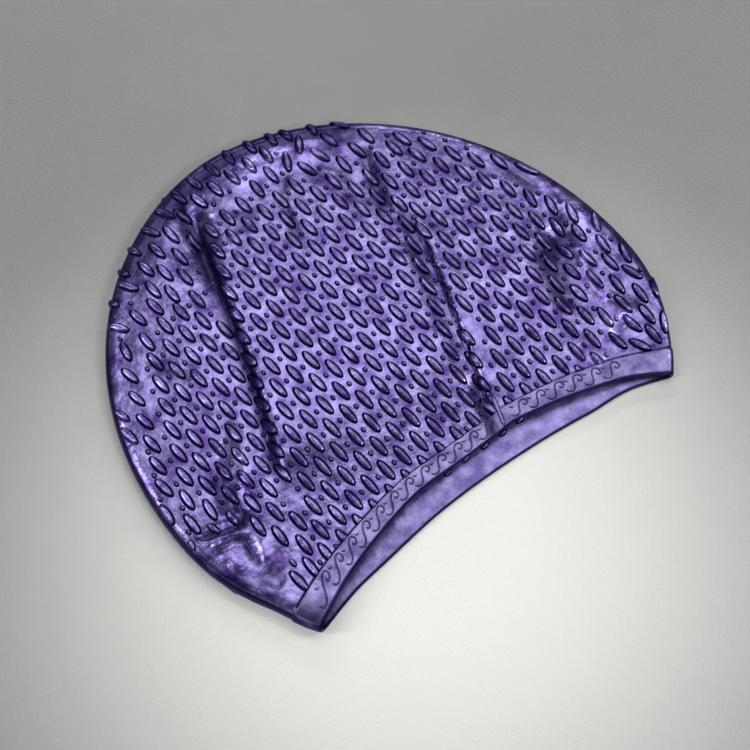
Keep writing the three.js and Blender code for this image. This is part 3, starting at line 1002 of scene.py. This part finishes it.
for layer, word, segments in ((1, "upper", 24), (-1, "under", 16)):
    ovals, dots = chart(layer)
    charted = rim_marks() if layer > 0 else []
    ovals = charted + thin_out(ovals, charted, OVAL_GAP)
    dots = thin_out(clear_of(dots, ovals), [], DOT_GAP)
    lumps("ovals_" + word, layer, ovals, OVAL, segments)
    lumps("dots_" + word, layer, dots, DOT, 12)

# Nubs on the inner face of the lower layer, at the upper mouth edge: place in the photo in pixels
INNER_NUBS = [(448, 473), (466, 459), (485, 446), (503, 433), (520, 420)]
NUB_TURN = 10


def inner_lie(layer, points):
    """Upward face of the lower layer inside the cap."""
    at = np.c_[points, np.full(len(points), BOTTOM + WALL)]
    return at, np.tile((0.0, 0.0, 1.0), (len(points), 1))


nubs = [(x, y, NUB_TURN, 1.0) for x, y in seen_at(np.array(INNER_NUBS, float), BOTTOM + WALL)]
lumps("inner_nubs", 1, nubs, NUB, 16, inner_lie)

# Raised lines: the crease's sharp edge, the rib of the pleat and the hem's scroll

# Half section of a raised line from its sunk foot: place across as a share of half its width, height
LINE_SECTION = [(-1.05, -0.9), (-1.0, 0.0), (-0.75, 0.55), (-0.35, 0.95), (0.0, 1.0)]
LINE_SUNK = 0.35


def flowing(points, spacing):
    """A smooth path through the points, with even spacing."""
    points = np.asarray(points, float)
    ends = np.vstack([2 * points[0] - points[1], points, 2 * points[-1] - points[-2]])
    t = np.linspace(0, 1, 9)[:-1, None]
    path = []
    for a, b, c, d in zip(ends[:-3], ends[1:-2], ends[2:-1], ends[3:]):
        path.append(0.5 * (2 * b + (c - a) * t + (2 * a - 5 * b + 4 * c - d) * t**2
                           + (3 * b - a - 3 * c + d) * t**3))
    path = np.vstack(path + [points[-1:]])
    return evenly(path, max(4, round(lengths(path)[-1] / spacing) + 1))


def raised_lines(name, layer, lines, material, lift=0.0, spacing=0.4):
    """One closed body along each line. A line has a path, wide, rise, taper and shaded side, where shade is
    painted.
    """
    section = LINE_SECTION + [(-x, z) for x, z in LINE_SECTION[-2::-1]]
    across = np.array([x for x, _ in section])
    height = np.array([z for _, z in section])
    size = len(section)
    points, faces, dark_tone_and_painted_shade = [], [], []
    start = 0
    for line in lines:
        path = flowing(line["path"], spacing)
        along = unit(np.gradient(path, axis=0))
        right = np.c_[along[:, 1], -along[:, 0]]
        length = lengths(path)
        end = np.minimum(length, length[-1] - length) / line["taper"]
        full = np.sqrt(np.clip(end, 0.02, 1))
        wide = line["wide"] / 2 * full
        plan = path[:, None, :] + right[:, None, :] * (wide[:, None] * across)[:, :, None]
        rise = np.where(height < 0, height * LINE_SUNK, height * line["rise"])
        up = lift + rise[None, :] * np.where(height < 0, 1, full[:, None])
        at, normal = skin_frame(layer, plan.reshape(-1, 2))
        points.append(at + normal * up.reshape(-1, 1))
        # Shade is painted on the line's chosen sides
        painted_shade_sides = {"left": across < -0.3, "both": np.abs(across) > 0.3, "none": across > 9}[line["painted_shading"]]
        dark_tone_and_painted_shade.append(np.tile(painted_shade_sides * 1.0, len(path)))
        for i in range(len(path) - 1):
            for k in range(size):
                a, b = start + i * size + k, start + i * size + (k + 1) % size
                face = (a, b, b + size, a + size)
                faces.append(face if layer > 0 else face[::-1])
        last = start + (len(path) - 1) * size
        caps = [tuple(range(start, start + size))[::-1], tuple(range(last, last + size))]
        faces += caps if layer > 0 else [cap[::-1] for cap in caps]
        start += len(path) * size
    return make_piece(name, np.vstack(points), faces, [material], np.concatenate(dark_tone_and_painted_shade))


# The middle crease. path: plan in mm. wide, rise, taper: mm. shaded: the side painted with shade, the one
# that looks away from light.
MIDDLE_RIDGE = dict(
    wide=1.3, rise=0.8, taper=4, painted_shading="left",
    path=[(42, 119), (40.5, 111), (39.2, 106), (38.2, 101), (35.6, 96), (36, 93), (33.6, 88), (33.2, 84),
          (30.6, 79), (30, 73), (27.6, 67), (26.4, 60), (23.6, 54), (22, 48), (19, 37.5), (17.6, 30)])
raised_lines("creases", 1, [MIDDLE_RIDGE], CROWN)

# The pleat's rib on the hem
PLEAT_RIB = dict(wide=1.9, rise=1.1, taper=1.2, painted_shading="none",
                 path=on_upper([(492, 396), (497, 407), (501.5, 417), (505, 426)]))
raised_lines("pleat_rib", 1, [PLEAT_RIB], HEM, HEM_RISE - 0.1)

# One wave of the hem's scroll: along the hem and up from its edge, in mm
SCROLL_PITCH = 8.2
SCROLL_WAVE = [(-0.4, 3.6), (0.5, 2.3), (1.9, 1.9), (3.2, 2.7), (4.0, 4.3), (4.6, 6.0), (5.6, 7.6),
               (7.0, 8.3), (8.3, 7.5), (8.5, 6.0), (7.6, 5.1), (6.6, 5.5), (6.7, 6.5)]
SCROLL_LEAF = [(1.0, 7.9), (1.7, 6.9), (2.9, 6.9)]
SCROLL_FROM = -84.0
SCROLL_TO = 76.0
# The scroll leaves the pleat free
PLEAT_X = 17.8
PLEAT_GAP = 1.6


def scroll(layer):
    lines = []
    count = int((SCROLL_TO - SCROLL_FROM) / SCROLL_PITCH)
    for i in range(count):
        at = SCROLL_FROM + i * SCROLL_PITCH
        for marks, wide in ((SCROLL_WAVE, 0.85), (SCROLL_LEAF, 0.75)):
            x = at + np.array([mark[0] for mark in marks])
            rim_y = np.array([mark[1] for mark in marks])
            path = np.c_[x, row_height(layer, rim_y, x)]
            if layer < 0 or np.abs(path[:, 0] - PLEAT_X).min() > PLEAT_GAP:
                lines.append(dict(path=path, wide=wide, rise=SCROLL_RISE, taper=0.8, painted_shading="both"))
    return lines


raised_lines("scroll_upper", 1, scroll(1), HEM, HEM_RISE, 0.5)
raised_lines("scroll_under", -1, scroll(-1), HEM, HEM_RISE - SCROLL_RISE, 0.7)

# Floor, light and camera


def turned_to(obj, way):
    obj.rotation_euler = way.to_track_quat("-Z", "Y").to_euler()


def place_camera():
    data = bpy.data.cameras.new("camera")
    data.sensor_width = 36
    data.lens = data.sensor_width * PHOTO_FOCAL_PIXELS / PHOTO_PIXELS
    data.clip_start = 0.01
    camera = add_object("camera", data)
    camera.location = to_model(CAMERA_AT)
    turned_to(camera, Vector(to_model(CAMERA_TO)) - Vector(to_model(CAMERA_AT)))
    bpy.context.scene.camera = camera


# Painted pool of light on the floor: its lightest place, in photo pixels, and where it starts and ends to
# fade
FLOOR_POOL = (405.0, 535.0)
POOL_FADE = (0.03, 0.21)
PAINTED_POOL_COLOUR = (0.84, 0.84, 0.8)
FLOOR_HALF = 3.0


def floor():
    n = Nodes("floor_paint")
    cloud = n.noise(6, 5)
    grain = n.noise(900)
    tone = n.ramp(cloud, "Fac", [(0.3, (0.205, 0.21, 0.205)), (0.7, (0.25, 0.255, 0.25))])
    # A painted pool of light, mixed over the floor's tone
    pool_x, pool_y = seen_at(np.array([FLOOR_POOL]), 0)[0]
    away = n.add("ShaderNodeVectorMath", {1: to_model((pool_x, pool_y, 0))}, operation="DISTANCE")
    n.link(n.where, "Object", away, 0)
    painted_pool = n.between(away, "Value", *POOL_FADE, 1.0, 0.0)
    painted_pool.interpolation_type = "SMOOTHSTEP"
    mix = n.add("ShaderNodeMix", {MIX_B: (*PAINTED_POOL_COLOUR, 1)}, data_type="RGBA")
    n.link(painted_pool, "Result", mix, "Factor")
    n.link(tone, "Color", mix, MIX_A)
    n.link(mix, MIX_RESULT, n.shader, "Base Color")
    n.shader.inputs["Roughness"].default_value = 0.36
    n.shader.inputs["Specular IOR Level"].default_value = 0.9
    n.link(n.bump(grain, "Fac", 0.00035), "Normal", n.shader, "Normal")
    mesh = bpy.data.meshes.new("floor")
    half = FLOOR_HALF
    mesh.from_pydata([(-half, -half, 0), (half, -half, 0), (half, half, 0), (-half, half, 0)], [],
                     [(0, 1, 2, 3)])
    mesh.materials.append(n.material)
    add_object("floor", mesh)


# Photo axes in plan: away from the camera and right
AWAY = (CAMERA_TO - CAMERA_AT)[:2] / np.linalg.norm((CAMERA_TO - CAMERA_AT)[:2])
RIGHT = np.array([AWAY[1], -AWAY[0]])

# Soft lights, all turned to the cap. right, away, up: place in metres. size: metres. power: watts.
LIGHTS = table("name right away up size power", [
    ("overhead", 0.08, 0.45, 1.3, (0.95, 0.62), 4.5),
    ("left_strip", -1.0, -0.15, 1.0, (0.1, 1.1), 7.0),
    ("right_strip", 1.0, 0.1, 0.95, (0.14, 0.9), 5.6),
    ("far_strip", -0.2, 1.4, 0.85, (1.1, 0.14), 5.6),
    ("near_strip", 0.55, -0.6, 1.0, (0.5, 0.12), 4.8),
    ("low_strip", -0.55, -0.9, 0.4, (0.9, 0.05), 1.6),
])


def soft_light(light):
    data = bpy.data.lights.new(light["name"], "AREA")
    data.shape = "RECTANGLE"
    data.size, data.size_y = light["size"]
    data.energy = light["power"]
    lamp = add_object(light["name"], data)
    lamp.location = (*(RIGHT * light["right"] + AWAY * light["away"]), light["up"])
    turned_to(lamp, -Vector(lamp.location))


floor()
place_camera()
for light in LIGHTS:
    soft_light(light)

world = bpy.data.worlds.new("room")
world.use_nodes = True
background = world.node_tree.nodes["Background"]
background.inputs["Color"].default_value = (0.55, 0.57, 0.6, 1)
background.inputs["Strength"].default_value = 0.09
bpy.context.scene.world = world
bpy.context.scene.view_settings.view_transform = "Standard"
